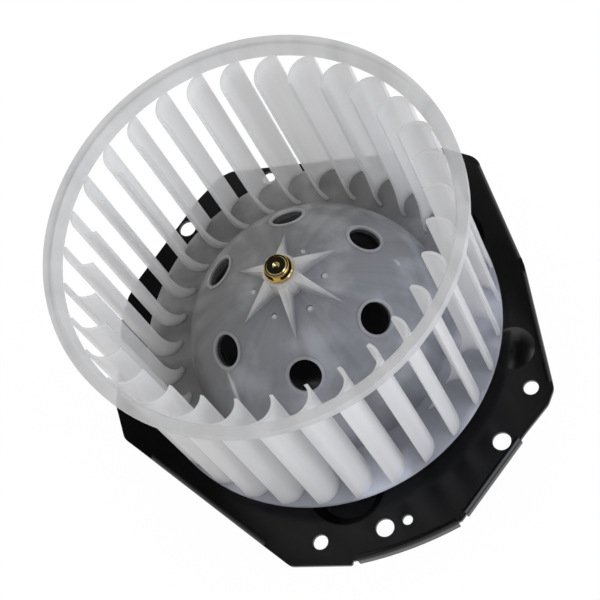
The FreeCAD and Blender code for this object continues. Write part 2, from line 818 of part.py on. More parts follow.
# Flange
def corner_cut(before, corner, after):
    """Start, middle and end of the arc that rounds one corner."""
    x, y, r = corner[:3]
    ax, ay = before[0] - x, before[1] - y
    bx, by = after[0] - x, after[1] - y
    a, b = math.hypot(ax, ay), math.hypot(bx, by)
    ax, ay, bx, by = ax / a, ay / a, bx / b, by / b
    half = math.acos(ax * bx + ay * by) / 2
    back = r / math.tan(half)
    mx, my = ax + bx, ay + by
    m = math.hypot(mx, my)
    reach = r / math.sin(half) - r
    return ((x + ax * back, y + ay * back), (x + mx / m * reach, y + my / m * reach),
            (x + bx * back, y + by * back))


def flange_plate():
    """The sheet's outline, its corners rounded and one edge an arc."""
    start, through, end = arc_lip
    loop = corners_right + (start + (0,), end + (0,)) + corners_left
    steps = []
    for i, corner in enumerate(loop):
        if corner[:2] == start:
            steps.append(start)
        elif corner[:2] == end:
            steps.append((through, end))
        else:
            first, middle, last = corner_cut(loop[i - 1], corner, loop[(i + 1) % len(loop)])
            steps += [first, (middle, last)]
    return flat(-sheet, 0, steps[-1][1], *steps)


def straight_edges():
    """Ends and depth of each folded straight edge."""
    loop = corners_right + (arc_lip[2] + (0, next_lip_depth),) + corners_left + corners_right[:1]
    return [(here[:2], there[:2], here[3]) for here, there in zip(loop, loop[1:]) if here[3]]


def lip_strip(p, q, depth):
    """A folded straight edge: its wall, and the cut that rounds its bend."""
    length = math.hypot(q[0] - p[0], q[1] - p[1])
    angle = math.degrees(math.atan2(q[1] - p[1], q[0] - p[0]))

    def set_in(shape):
        shape.rotate(vec(0, 0, 0), vec(0, 0, 1), angle)
        shape.translate(vec(p[0], p[1], 0))
        return shape

    start, end = lip_start, length - lip_start
    wall = block(start, end, 0, sheet, -depth, -sheet / 2)
    corner = block(start, end, -1, lip_bend_r, -lip_bend_r, 1)
    bend = Part.makeCylinder(lip_bend_r, end - start, vec(start, lip_bend_r, -lip_bend_r), vec(1, 0, 0))
    return set_in(wall), set_in(corner.cut(bend))


def arc_centre(p, q, s):
    """Centre and radius of the circle through three points."""
    circle = Part.Arc(vec(p[0], p[1], 0), vec(q[0], q[1], 0), vec(s[0], s[1], 0)).toShape().Curve
    return (circle.Center.x, circle.Center.y), circle.Radius


def arc_lip_parts():
    """The wall along the curved edge, and the cut that rounds its bend."""
    (cx, cy), r = arc_centre(*arc_lip)
    ends = [math.degrees(math.atan2(p[1] - cy, p[0] - cx)) for p in (arc_lip[0], arc_lip[2])]
    trim = math.degrees(lip_start / 2 / r)
    lean = math.sqrt(0.5)
    bend_mid = (r - lip_bend_r * (1 - lean), -lip_bend_r * (1 - lean))

    def swept(start, *steps):
        face = closed_face(lambda p: vec(p[0], 0, p[1]), start, *steps)
        sweep = face.revolve(vec(0, 0, 0), vec(0, 0, 1), ends[1] - ends[0] - 2 * trim)
        return moved(turned(sweep, ends[0] + trim), cx, cy, 0)

    wall = swept((r - sheet, -arc_lip_depth), (r, -arc_lip_depth), (r, -sheet / 2), (r - sheet, -sheet / 2))
    corner = swept((r + 1, -lip_bend_r), (r + 1, 1), (r - lip_bend_r, 1), (r - lip_bend_r, 0),
                   (bend_mid, (r, -lip_bend_r)))
    return wall, corner


def pocket_cone(offset, z0, z1):
    """Cone of a pocket's wall between two heights, its radius offset."""
    slope = (pocket_r - pocket_floor_r) / pocket_depth

    def radius(z):
        return pocket_r + offset + slope * z

    return Part.makeCone(radius(z0), radius(z1), z1 - z0, vec(mount_r, 0, z0))


def bump(z):
    """Round swelling of the sheet, flat underneath at the given height."""
    side_r = (bump_r ** 2 + bump_h ** 2) / (2 * bump_h)
    middle_r = bump_r / 2
    middle_h = bump_h - side_r + math.sqrt(side_r ** 2 - middle_r ** 2)
    dome = revolved((0, 0), (bump_r, 0), ((middle_r, middle_h), (0, bump_h)))
    return moved(dome, bump_x, bump_y, z)


def make_mounting_flange():
    plate = flange_plate()
    folds = [arc_lip_parts()] + [lip_strip(*edge) for edge in straight_edges()]
    plate = plate.multiFuse([wall for wall, cut in folds])
    plate = plate.cut(Part.makeCompound([cut for wall, cut in folds])).removeSplitter()
    dips = pattern(pocket_cone(pocket_out_r - pocket_r, pocket_under_z, -sheet / 2), mounts, mount_first)
    plate = plate.multiFuse(dips + [bump(0)])
    hollows = pattern(pocket_cone(0, pocket_floor_z, 0), mounts, mount_first)
    hollows += pattern(disc(bolt_r + bolt_gap, pocket_under_z - 1, 0, mount_r), mounts, mount_first)
    hollows.append(bump(-sheet))
    hollows.append(disc(opening_r, -sheet - 1, 1))
    for places, r in ((screw_holes, screw_hole_r), (locating_holes, locating_hole_r),
                      (pilot_holes, pilot_hole_r)):
        hollows += [disc(r, -sheet - 1, 1, x, y) for x, y in places]
    return plate.cut(Part.makeCompound(hollows)).removeSplitter()


nodes = {
    "mounting_flange": make_mounting_flange,
    "motor_case": make_motor_case,
    "end_cap": make_end_cap,
    "end_cap_screws": make_end_cap_screws,
    "motor_bracket": make_motor_bracket,
    "isolator_grommets": make_isolator_grommets,
    "spacer_sleeves": make_spacer_sleeves,
    "mount_screws": make_mount_screws,
    "mount_washers": make_mount_washers,
    "mount_nuts": make_mount_nuts,
    "upper_bearing": make_upper_bearing,
    "lower_bearing": make_lower_bearing,
    "upper_retainer": make_upper_retainer,
    "lower_retainer": make_lower_retainer,
    "magnet_a": make_magnet_a,
    "magnet_b": make_magnet_b,
    "magnet_clips": make_magnet_clips,
    "brush_card": make_brush_card,
    "brush_holder_a": make_brush_holder_a,
    "brush_holder_b": make_brush_holder_b,
    "brush_a": make_brush_a,
    "brush_b": make_brush_b,
    "brush_spring_a": make_brush_spring_a,
    "brush_spring_b": make_brush_spring_b,
    "choke_coils": make_choke_coils,
    "connector_housing": make_connector_housing,
    "terminals": make_terminals,
    "blower_wheel": make_blower_wheel,
    "hub_bush": make_hub_bush,
    "shaft": make_shaft,
    "armature_core": make_armature_core,
    "armature_winding": make_armature_winding,
    "end_insulators": make_end_insulators,
    "commutator_hub": make_commutator_hub,
    "commutator_bars": make_commutator_bars,
    "thrust_washers": make_thrust_washers,
}

os.makedirs("parts", exist_ok=True)
for name, make in nodes.items():
    shape = make()
    if not shape.isValid() or not shape.Solids:
        raise ValueError(name + " isn't a sound solid")
    if shape.ShapeType == "Compound" and len(shape.Solids) == 1:
        shape = shape.Solids[0]
    shape.exportStep("parts/" + name + ".step")
    print(name, len(shape.Solids), "solid", round(shape.Volume / 1000, 2), "cm3")
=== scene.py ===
"""Finish, light and camera for the blower motor of a car's cabin heater.

Laid out as an add-on and run as a script. Lengths are metres, in the part's
own frame: z is the shaft's axis and points out of the wheel's inlet.
"""

import json
import math

import bmesh
import bpy
from bpy.props import FloatProperty, FloatVectorProperty, PointerProperty
from mathutils import Matrix, Vector

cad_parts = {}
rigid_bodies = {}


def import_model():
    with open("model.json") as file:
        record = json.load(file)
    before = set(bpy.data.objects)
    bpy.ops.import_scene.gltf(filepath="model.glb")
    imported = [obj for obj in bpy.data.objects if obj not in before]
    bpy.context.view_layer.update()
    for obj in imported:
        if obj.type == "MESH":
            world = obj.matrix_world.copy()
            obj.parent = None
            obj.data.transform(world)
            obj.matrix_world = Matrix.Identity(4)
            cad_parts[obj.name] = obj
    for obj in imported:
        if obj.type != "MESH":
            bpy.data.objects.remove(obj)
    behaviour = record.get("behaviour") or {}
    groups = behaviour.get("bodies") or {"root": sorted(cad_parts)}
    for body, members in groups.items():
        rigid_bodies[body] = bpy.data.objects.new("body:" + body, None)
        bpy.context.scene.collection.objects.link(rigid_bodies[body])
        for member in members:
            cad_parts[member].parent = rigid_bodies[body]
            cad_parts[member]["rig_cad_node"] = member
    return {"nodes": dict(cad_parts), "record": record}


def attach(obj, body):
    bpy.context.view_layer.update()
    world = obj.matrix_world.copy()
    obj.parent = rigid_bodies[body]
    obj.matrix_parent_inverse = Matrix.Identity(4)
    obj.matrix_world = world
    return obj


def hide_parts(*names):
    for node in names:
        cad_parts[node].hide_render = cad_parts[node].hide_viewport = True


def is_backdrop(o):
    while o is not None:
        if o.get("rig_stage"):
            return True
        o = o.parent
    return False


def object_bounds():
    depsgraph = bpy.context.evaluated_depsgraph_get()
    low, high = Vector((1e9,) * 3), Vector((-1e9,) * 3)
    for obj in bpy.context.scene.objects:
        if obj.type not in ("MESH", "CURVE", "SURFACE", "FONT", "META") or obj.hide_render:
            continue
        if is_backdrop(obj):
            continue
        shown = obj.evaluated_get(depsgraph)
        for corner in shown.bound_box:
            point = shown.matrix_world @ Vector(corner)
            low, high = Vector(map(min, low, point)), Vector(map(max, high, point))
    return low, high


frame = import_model()

bl_info = {
    "name": "Cabin Blower Motor",
    "version": (1, 0, 0),
    "blender": (4, 5, 0),
    "location": "View3D > Sidebar > Blower",
    "description": "Finishes, light and camera for a cabin blower motor",
    "category": "Object",
}

MM = 0.001

# The wheel's dome, plate and ring, as the model has them
DOME_CENTRE_Z = 3.3 * MM
DOME_R = 51.8 * MM
PLATE_TOP_Z = 10.6 * MM
RING_LOW_Z = 95.8 * MM

# Shallow round marks in the dome, round the hub
DOT_COUNT = 6
DOT_FIRST = math.radians(8.0)
DOT_CIRCLE_R = 13.5 * MM
DOT_R = 1.3 * MM
DOT_DEPTH = 0.3 * MM
DOT_FOOT_SHARE = 0.9     # cap's foot and top beside the mark's radius
DOT_TOP_SHARE = 0.6
DOT_SEGMENTS = 24

# Where the wheel's painted shade and painted light change, measured outwards from the dome's skin
# Painted shade on the dome's inside, which faces the dark motor
INSIDE_SHADE_START, INSIDE_SHADE_END = -0.6 * MM, -0.2 * MM
# Painted light on the rims of the dome's holes
RIM_START, RIM_END = 0.25 * MM, 0.55 * MM
# Painted shade of the dark motor behind the dome, fading out above it
FADE_START, FADE_END = 0.3 * MM, 5.0 * MM
# and upwards from the plate's top and from the ring's lower edge
# Painted shade on the plate and the feet of the blades
PLATE_START, PLATE_END = 0.2 * MM, 1.5 * MM
# Painted shade on the inlet ring
RING_START, RING_END = -0.5 * MM, 0.5 * MM

# Patterns on the materials: noise scales are per metre
# Painted light: the side of the dome given a paler, bluer tone, and where it starts and ends
PAINTED_COOL_LIGHT_SIDE = (-0.715, 0.699, 0.0)
PAINTED_COOL_LIGHT_FROM, PAINTED_COOL_LIGHT_TO = -30.0 * MM, 35.0 * MM
STREAK_SCALE = 7.0       # on the heading from the hub, so without a unit
# Painted highlights: soft pale patches on the dome
PAINTED_HIGHLIGHT_SCALE = 42.0
PAINTED_HIGHLIGHT_FROM, PAINTED_HIGHLIGHT_TO = 0.48, 0.68
SKIN_SCALE, SKIN_HEIGHT = 220.0, 0.03 * MM
PAINT_SCALE, PAINT_RIPPLE_SCALE = 60.0, 90.0
METAL_SCALE = 400.0
GRAIN_SCALE, GRAIN_HEIGHT = 900.0, 0.02 * MM
EDGE_R = 0.25 * MM       # how round the edges look

CREASE = math.radians(28.0)
MERGE = 0.002 * MM

FLOOR_COLOUR = (0.9, 0.9, 0.9)
FLOOR_GLOW = 1.02        # strength of the white that the camera sees
LAMP_TARGET = (0.0, 0.0, 0.04)
WHITE = (1.0, 1.0, 1.0)
COOL_LIGHT = (0.86, 0.9, 1.0)
# Name, place, side and tint of each lamp; its power is a setting
LAMPS = (
    ("key_lamp", (0.45, 0.55, 0.95), 0.7, WHITE),
    ("fill_lamp", (-0.9, 0.2, 0.38), 0.8, COOL_LIGHT),
    ("back_lamp", (0.1, -0.9, 0.7), 0.8, WHITE),
)
# In reflections the room goes from its walls' tone to its ceiling's between
# these steepnesses, from 0 at the level to 1 straight up
WALL_TOP, CEILING_EDGE = 0.25, 0.75


def colour(name, description, default):
    return FloatVectorProperty(
        name=name, description=description, subtype="COLOR", size=3, min=0.0, max=1.0, default=default)


def share(name, description, default):
    return FloatProperty(
        name=name, description=description, subtype="FACTOR", min=0.0, max=1.0, default=default)


def length(name, description, default):
    return FloatProperty(name=name, description=description, unit="LENGTH", default=default)


class WheelSettings(bpy.types.PropertyGroup):
    """Looks of the moulded wheel."""

    colour: colour("Colour", "Colour of the natural plastic", (0.86, 0.857, 0.845))
    glow: colour("Glow", "Colour of the light that comes through", (0.87, 0.87, 0.885))
    roughness: share("Roughness", "How dull the moulded skin is", 0.27)
    # Painted shade: the dark motor behind the dome, painted into the plastic's colour
    shaded: colour("Shaded", "Tone of the plastic close in front of the motor", (0.43, 0.43, 0.43))
    # Painted light: a paler, bluer tone of the dome on one side
    painted_cool_light: colour("Cool", "The same tone on the side that looks cooler", (0.575, 0.59, 0.65))
    # Painted highlights: how much lighter the dome's soft patches are
    painted_highlights: share("Patches", "How much lighter the dome's milky patches are", 0.55)
    # Painted light: the rims of the dome's holes lifted partway out of the painted shade
    rims: share("Rims", "How far the rims of the dome's holes go to the paler tone", 0.40)
    # Painted shade on the dome's inside
    inside_shade: share("Lining", "Tone of the dome's inside beside its outside", 0.12)
    passing: share("Light Passing", "Share of the light that goes through softened", 0.40)
    clear: share("Clear", "Share of the light that goes straight through a surface", 0.36)
    clouding: share("Clouding", "How much the tone varies round the moulding", 0.22)
    # Painted shade: the inlet ring darker than the blades
    ring_painted_shade: share("Ring Tone", "Tone of the inlet ring beside the blades'", 0.83)


class FlangeSettings(bpy.types.PropertyGroup):
    """Looks of the pressed flange and the motor's bracket."""

    colour: colour("Colour", "Colour of the paint", (0.0022, 0.0022, 0.0025))
    roughness: share("Roughness", "How dull the paint is", 0.20)
    ripple: length("Ripple", "Height of the paint's ripple", 0.00002)
    shine: share("Shine", "How strongly the paint mirrors", 0.38)


class MetalSettings(bpy.types.PropertyGroup):
    """Looks of the bare metal parts."""

    brass: colour("Brass", "Colour of the turned bush", (0.52, 0.39, 0.16))
    shaft: colour("Shaft", "Colour of the shaft's end", (0.42, 0.35, 0.18))
    plated: colour("Plated Steel", "Colour of plated steel", (0.60, 0.60, 0.58))
    copper: colour("Copper", "Colour of the winding", (0.72, 0.33, 0.14))
    roughness: share("Roughness", "How dull the turned metal is", 0.10)


class MotorSettings(bpy.types.PropertyGroup):
    """Looks of the motor's moulded and rubber parts."""

    plastic: colour("Black Plastic", "Colour of the end cap and the socket", (0.02, 0.02, 0.021))
    rubber: colour("Rubber", "Colour of the soft mounts", (0.018, 0.018, 0.018))
    laminate: colour("Laminate", "Colour of the brush card", (0.30, 0.17, 0.07))
    ferrite: colour("Ferrite", "Colour of the magnets", (0.06, 0.06, 0.062))


class StageSettings(bpy.types.PropertyGroup):
    """Camera, floor and lamps."""

    camera_place: FloatVectorProperty(
        name="Camera Place", description="Where the camera stands", subtype="TRANSLATION",
        unit="LENGTH", default=(-0.16345, 0.25773, 0.58803))
    camera_turn: FloatVectorProperty(
        name="Camera Turn", description="How the camera is turned", subtype="EULER",
        unit="ROTATION",
        default=(math.radians(24.610), math.radians(15.932), math.radians(-178.564)))
    lens: FloatProperty(
        name="Lens", description="Focal length on a 36 mm frame", unit="CAMERA", default=102.247)
    floor_size: length("Floor Size", "Side of the floor", 6.0)
    floor_white: share("Floor White", "How white the floor looks to the camera", 0.94)
    key_power: FloatProperty(name="Key Lamp", description="Power of the key lamp", default=2.5)
    fill_power: FloatProperty(name="Fill Lamp", description="Power of the fill lamp", default=6.5)
    back_power: FloatProperty(name="Back Lamp", description="Power of the lamp behind", default=1.1)
    mirror_top: FloatProperty(
        name="Mirrored Ceiling", description="Strength of the ceiling in reflections", default=0.02)
    mirror_side: FloatProperty(
        name="Mirrored Walls", description="Strength of the walls in reflections", default=1.0)
    world_light: FloatProperty(
        name="Room Light", description="Strength of the room's light", default=0.56)


# Materials

class Recipe:
    """A material's node tree, with a Principled shader to start from."""

    def __init__(self, name, base, roughness, metallic=0.0):
        self.material = bpy.data.materials.new(name + "_finish")
        self.material.use_nodes = True
        self.nodes = self.material.node_tree.nodes
        self.links = self.material.node_tree.links
        self.shader = self.nodes["Principled BSDF"]
        self.output = self.nodes["Material Output"]
        self.shader.inputs["Base Color"].default_value = (*base, 1.0)
        self.shader.inputs["Roughness"].default_value = roughness
        self.shader.inputs["Metallic"].default_value = metallic
        self.material.diffuse_color = (*base, 1.0)

    def add(self, kind, **values):
        node = self.nodes.new(kind)
        for name, value in values.items():
            setattr(node, name, value)
        return node

    def link(self, out, into):
        self.links.new(out, into)
        return self

    def noise(self, scale, detail=3.0):
        """Noise over the object's own coordinates."""
        place = self.add("ShaderNodeTexCoord")
        texture = self.add("ShaderNodeTexNoise")
        texture.inputs["Scale"].default_value = scale
        texture.inputs["Detail"].default_value = detail
        self.link(place.outputs["Object"], texture.inputs["Vector"])
        return texture.outputs["Fac"]

    def let_light_through(self, glow, passing, clear):
        """Passes a share of the light, some softened and some straight, as a
        thin milky wall does."""
        milky = self.add("ShaderNodeBsdfTranslucent")
        milky.inputs["Color"].default_value = (*glow, 1.0)
        plain = self.add("ShaderNodeBsdfTransparent")
        soft_mix = self.add("ShaderNodeMixShader")
        soft_mix.inputs["Fac"].default_value = passing
        clear_mix = self.add("ShaderNodeMixShader")
        clear_mix.inputs["Fac"].default_value = clear
        self.link(self.shader.outputs["BSDF"], soft_mix.inputs[1])
        self.link(milky.outputs["BSDF"], soft_mix.inputs[2])
        self.link(soft_mix.outputs["Shader"], clear_mix.inputs[1])
        self.link(plain.outputs["BSDF"], clear_mix.inputs[2])
        self.link(clear_mix.outputs["Shader"], self.output.inputs["Surface"])
        return milky

    def number(self, operation, first, second):
        """One sum on a socket and a second socket or number."""
        node = self.add("ShaderNodeMath", operation=operation)
        self.link(first, node.inputs[0])
        if isinstance(second, float):
            node.inputs[1].default_value = second
        else:
            self.link(second, node.inputs[1])
        return node.outputs[0]

    def vector(self, operation, first, second):
        """One sum on a vector socket and a fixed vector."""
        node = self.add("ShaderNodeVectorMath", operation=operation)
        self.link(first, node.inputs[0])
        node.inputs[1].default_value = second
        return node.outputs["Value" if operation in ("DISTANCE", "DOT_PRODUCT") else "Vector"]

    def scaled(self, colour_socket, factor):
        """A colour times a factor."""
        node = self.add("ShaderNodeVectorMath", operation="SCALE")
        self.link(colour_socket, node.inputs[0])
        self.link(factor, node.inputs["Scale"])
        return node.outputs["Vector"]

    def between(self, value, low, high, start=0.0, end=1.0):
        """Takes a value that runs from start to end to one from low to high."""
        spread = self.add("ShaderNodeMapRange")
        spread.inputs["From Min"].default_value = start
        spread.inputs["From Max"].default_value = end
        spread.inputs["To Min"].default_value = low
        spread.inputs["To Max"].default_value = high
        self.link(value, spread.inputs["Value"])
        return spread.outputs["Result"]

    def ramp(self, value, low, high):
        """Smooth rise from 0 to 1 between two values."""
        rise = self.add("ShaderNodeMapRange", interpolation_type="SMOOTHSTEP")
        rise.inputs["From Min"].default_value = low
        rise.inputs["From Max"].default_value = high
        self.link(value, rise.inputs["Value"])
        return rise.outputs["Result"]

    def rough_between(self, low, high, scale):
        """Roughness that wanders between two values."""
        self.link(self.between(self.noise(scale), low, high), self.shader.inputs["Roughness"])
        return self

    def rippled(self, height, scale, detail=2.0):
        """A shallow bump, over edges that look slightly rounded."""
        bump = self.add("ShaderNodeBump")
        rounded = self.add("ShaderNodeBevel", samples=4)
        rounded.inputs["Radius"].default_value = EDGE_R
        self.link(rounded.outputs["Normal"], bump.inputs["Normal"])
        bump.inputs["Distance"].default_value = height
        self.link(self.noise(scale, detail), bump.inputs["Height"])
        self.link(bump.outputs["Normal"], self.shader.inputs["Normal"])
        return self


def flow_streaks(recipe, place, spread):
    """Tone that changes with the heading from the hub, as the plastic flowed."""
    flat_place = recipe.vector("MULTIPLY", place, (1.0, 1.0, 0.0))
    heading = recipe.add("ShaderNodeVectorMath", operation="NORMALIZE")
    recipe.link(flat_place, heading.inputs[0])
    streaks = recipe.add("ShaderNodeTexNoise")
    streaks.inputs["Scale"].default_value = STREAK_SCALE
    streaks.inputs["Detail"].default_value = 4.0
    recipe.link(heading.outputs["Vector"], streaks.inputs["Vector"])
    return recipe.between(streaks.outputs["Fac"], 1.0 - spread, 1.0 + spread)


def dome_painted_light_and_shade(recipe, looks, place, radius):
    """Colour of the dome, all painted: shade of the motor behind, cool light on one side, highlight
    patches and shade on the inside.
    """
    # Painted light on one side of the dome
    side = recipe.vector("DOT_PRODUCT", place, PAINTED_COOL_LIGHT_SIDE)
    shade = recipe.add("ShaderNodeMix", data_type="RGBA")
    shade.inputs["A"].default_value = (*looks.shaded, 1.0)
    shade.inputs["B"].default_value = (*looks.painted_cool_light, 1.0)
    recipe.link(recipe.ramp(side, PAINTED_COOL_LIGHT_FROM, PAINTED_COOL_LIGHT_TO), shade.inputs["Factor"])
    # Painted highlights in soft patches over the dome
    painted_highlight_spread = recipe.ramp(recipe.noise(PAINTED_HIGHLIGHT_SCALE, 6.0), PAINTED_HIGHLIGHT_FROM, PAINTED_HIGHLIGHT_TO)
    painted_highlights = recipe.between(painted_highlight_spread, 1.0, 1.0 + looks.painted_highlights)
    # Painted shade on the dome's inside
    outside = recipe.ramp(radius, DOME_R + INSIDE_SHADE_START, DOME_R + INSIDE_SHADE_END)
    inside_shaded = recipe.between(outside, looks.inside_shade, 1.0)
    return recipe.scaled(shade.outputs["Result"], recipe.number("MULTIPLY", painted_highlights, inside_shaded))


def wheel_plastic(name):
    """Milky plastic, with painted shade where the black motor stands close behind it and on the plate
    and ring.
    """
    looks = bpy.context.scene.blower_wheel
    recipe = Recipe(name, looks.colour, looks.roughness)
    recipe.rippled(SKIN_HEIGHT, SKIN_SCALE)
    milky = recipe.let_light_through(looks.glow, looks.passing, looks.clear)

    # Distance from the middle of the sphere that the dome is part of
    place = recipe.add("ShaderNodeTexCoord").outputs["Object"]
    radius = recipe.vector("DISTANCE", place, (0.0, 0.0, DOME_CENTRE_Z))
    parts = recipe.add("ShaderNodeSeparateXYZ")
    recipe.link(place, parts.inputs[0])
    height = parts.outputs["Z"]

    # How far a point is clear of the dome and the plate, where the painted shade fades out
    above_dome = recipe.ramp(radius, DOME_R + FADE_START, DOME_R + FADE_END)
    # Painted light: the rims of the dome's holes are lifted partway out of the painted shade
    rim_height = recipe.ramp(radius, DOME_R + RIM_START, DOME_R + RIM_END)
    raised = recipe.number("MAXIMUM", above_dome, recipe.number("MULTIPLY", rim_height, looks.rims))
    # Painted shade on the plate and the feet of the blades, fading upwards
    above_plate = recipe.ramp(height, PLATE_TOP_Z + PLATE_START, PLATE_TOP_Z + PLATE_END)
    out_of_painted_shade = recipe.number("MULTIPLY", raised, above_plate)

    # Painted shade: the inlet ring darker than the blades
    ring_painted_shade = recipe.between(
        height, 1.0, looks.ring_painted_shade, RING_LOW_Z + RING_START, RING_LOW_Z + RING_END)
    # The ring's painted shade times the plastic's own streaks
    tone = recipe.number("MULTIPLY", ring_painted_shade, flow_streaks(recipe, place, looks.clouding))
    # The dome's painted light and shade, used where a point isn't clear of the dome and the plate
    painted_dome_light_and_shade = dome_painted_light_and_shade(recipe, looks, place, radius)
    for shown, socket in (
            (looks.colour, recipe.shader.inputs["Base Color"]),
            (looks.glow, milky.inputs["Color"])):
        mix = recipe.add("ShaderNodeMix", data_type="RGBA")
        recipe.link(painted_dome_light_and_shade, mix.inputs["A"])
        mix.inputs["B"].default_value = (*shown, 1.0)
        recipe.link(out_of_painted_shade, mix.inputs["Factor"])
        recipe.link(recipe.scaled(mix.outputs["Result"], tone), socket)
    return recipe.material


def black_paint(name):
    """Glossy paint with a slight ripple."""
    looks = bpy.context.scene.blower_flange
    recipe = Recipe(name, looks.colour, looks.roughness)
    recipe.rough_between(looks.roughness * 0.8, looks.roughness * 1.5, PAINT_SCALE)
    recipe.rippled(looks.ripple, PAINT_RIPPLE_SCALE)
    recipe.shader.inputs["Specular IOR Level"].default_value = looks.shine
    return recipe.material


def turned_metal(name, base, roughness):
    """Bare metal, a little uneven in its gloss."""
    recipe = Recipe(name, base, roughness, metallic=1.0)
    return recipe.rough_between(roughness * 0.8, roughness * 1.4, METAL_SCALE).material


def dull(name, base, roughness=0.55):
    """Plastic, rubber or carbon with a fine grain."""
    recipe = Recipe(name, base, roughness)
    return recipe.rippled(GRAIN_HEIGHT, GRAIN_SCALE).material


def finish(name):
    """The material for a slot, made when it is first asked for."""
    found = bpy.data.materials.get(name + "_finish")
    if found:
        return found
    metals, motor = bpy.context.scene.blower_metal, bpy.context.scene.blower_motor
    makers = {
        "wheel_plastic": (wheel_plastic,),
        # The grey of the dome's painted shade, a little paler where the marks are
        "dot_in_painted_shade": (dull, (0.46, 0.465, 0.48), 0.3),
        "black_paint": (black_paint,),
        "brass": (turned_metal, metals.brass, metals.roughness),
        "shaft_steel": (turned_metal, metals.shaft, metals.roughness),
        "plated_steel": (turned_metal, metals.plated, 0.34),
        "core_steel": (turned_metal, (0.30, 0.30, 0.31), 0.5),
        "bearing_bronze": (turned_metal, (0.50, 0.34, 0.16), 0.5),
        "copper": (turned_metal, metals.copper, 0.3),
        "black_plastic": (dull, motor.plastic),
        "card_board": (dull, motor.laminate),
        "rubber": (dull, motor.rubber, 0.7),
        "ferrite": (dull, motor.ferrite),
        "carbon": (dull, (0.03, 0.03, 0.032), 0.6),
    }
    maker, *looks = makers[name]
    return maker(name, *looks)


# Pieces

def node_slot(node):
    """The record's material slot of a node."""
    for part in frame["record"]["subparts"]:
        if part["node"] == node:
            return part["material_slot"]
    raise ValueError(node + " isn't in the record")


def node_body(node):
    """The body that a node rides on."""
    for body, members in frame["record"]["behaviour"]["bodies"].items():
        if node in members:
            return body
    raise ValueError(node + " rides on no body")


def paint(node):
    """Gives a node its finish."""
    source = frame["nodes"][node]
    source.data.materials.clear()
    source.data.materials.append(finish(node_slot(node)))


def place_piece(name, form, node, look=None):
    """Makes an object of a bmesh, in a node's slot and on its body. It has the
    slot's finish, or the one that look names."""
    mesh = bpy.data.meshes.new(name)
    form.to_mesh(mesh)
    form.free()
    piece = bpy.data.objects.new(name, mesh)
    bpy.context.scene.collection.objects.link(piece)
    slot = node_slot(node)
    mesh.materials.append(finish(look or slot))
    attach(piece, node_body(node))
    return piece


def dress(node):
    """A piece of a node's own form, its facets joined and shaded smooth."""
    form = bmesh.new()
    form.from_mesh(frame["nodes"][node].data)
    bmesh.ops.remove_doubles(form, verts=form.verts, dist=MERGE)
    for layer in list(form.loops.layers.uv.values()):
        form.loops.layers.uv.remove(layer)
    piece = place_piece(node + "_finished", form, node)
    mesh = piece.data
    for stale in [a.name for a in mesh.attributes if "normal" in a.name]:
        mesh.attributes.remove(mesh.attributes[stale])
    mesh.polygons.foreach_set("use_smooth", [True] * len(mesh.polygons))
    mesh.set_sharp_from_angle(angle=CREASE)
    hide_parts(node)
    return piece


def round_marks():
    """Milky caps that lie in the dome's shallow round marks, in the grey of the dome's painted shade.
    """
    form = bmesh.new()
    floor_r = DOME_R - DOT_DEPTH
    floor_z = DOME_CENTRE_Z + math.sqrt(floor_r ** 2 - DOT_CIRCLE_R ** 2)
    tilt = Matrix.Rotation(math.asin(DOT_CIRCLE_R / floor_r), 4, "Y")
    tilted = Matrix.Translation((DOT_CIRCLE_R, 0.0, floor_z)) @ tilt
    for step in range(DOT_COUNT):
        angle = DOT_FIRST + step * 2 * math.pi / DOT_COUNT
        bmesh.ops.create_cone(
            form, cap_ends=True, segments=DOT_SEGMENTS, radius1=DOT_R * DOT_FOOT_SHARE,
            radius2=DOT_R * DOT_TOP_SHARE, depth=DOT_DEPTH,
            matrix=Matrix.Rotation(angle, 4, "Z") @ tilted)
    return place_piece("wheel_dots", form, "blower_wheel", "dot_in_painted_shade")


class BLOWER_OT_wheel(bpy.types.Operator):
    """Finish the moulded wheel"""

    bl_idname = "blower.wheel"
    bl_label = "Wheel"

    def execute(self, context):
        dress("blower_wheel")
        round_marks()
        return {"FINISHED"}


class BLOWER_OT_hub(bpy.types.Operator):
    """Finish the brass bush and the shaft in it"""

    bl_idname = "blower.hub"
    bl_label = "Hub Bush and Shaft"

    def execute(self, context):
        for node in ("hub_bush", "shaft"):
            dress(node)
        return {"FINISHED"}


class BLOWER_OT_flange(bpy.types.Operator):
    """Finish the pressed flange"""

    bl_idname = "blower.flange"
    bl_label = "Flange"

    def execute(self, context):
        dress("mounting_flange")
        return {"FINISHED"}


class BLOWER_OT_motor(bpy.types.Operator):
    """Finish the motor's can, its end cap and its bracket"""

    bl_idname = "blower.motor"
    bl_label = "Motor"

    def execute(self, context):
        for node in ("motor_case", "end_cap", "end_cap_screws", "motor_bracket"):
            dress(node)
        return {"FINISHED"}


class BLOWER_OT_mounts(bpy.types.Operator):
    """Finish the three soft mounts and their screws"""

    bl_idname = "blower.mounts"
    bl_label = "Soft Mounts"

    def execute(self, context):
        for node in (
                "isolator_grommets", "spacer_sleeves", "mount_screws", "mount_washers",
                "mount_nuts"):
            dress(node)
        return {"FINISHED"}


class BLOWER_OT_socket(bpy.types.Operator):
    """Finish the motor's socket and its terminals"""

    bl_idname = "blower.socket"
    bl_label = "Socket"

    def execute(self, context):
        for node in ("connector_housing", "terminals"):
            dress(node)
        return {"FINISHED"}


class BLOWER_OT_inner(bpy.types.Operator):
    """Finish what the motor holds inside"""

    bl_idname = "blower.inner"
    bl_label = "Inner Parts"

    def execute(self, context):
        seen = {piece.get("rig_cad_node") for piece in bpy.data.objects}
        for node in frame["nodes"]:
            if node + "_finished" not in bpy.data.objects and node in seen:
                paint(node)
        return {"FINISHED"}


# Stage

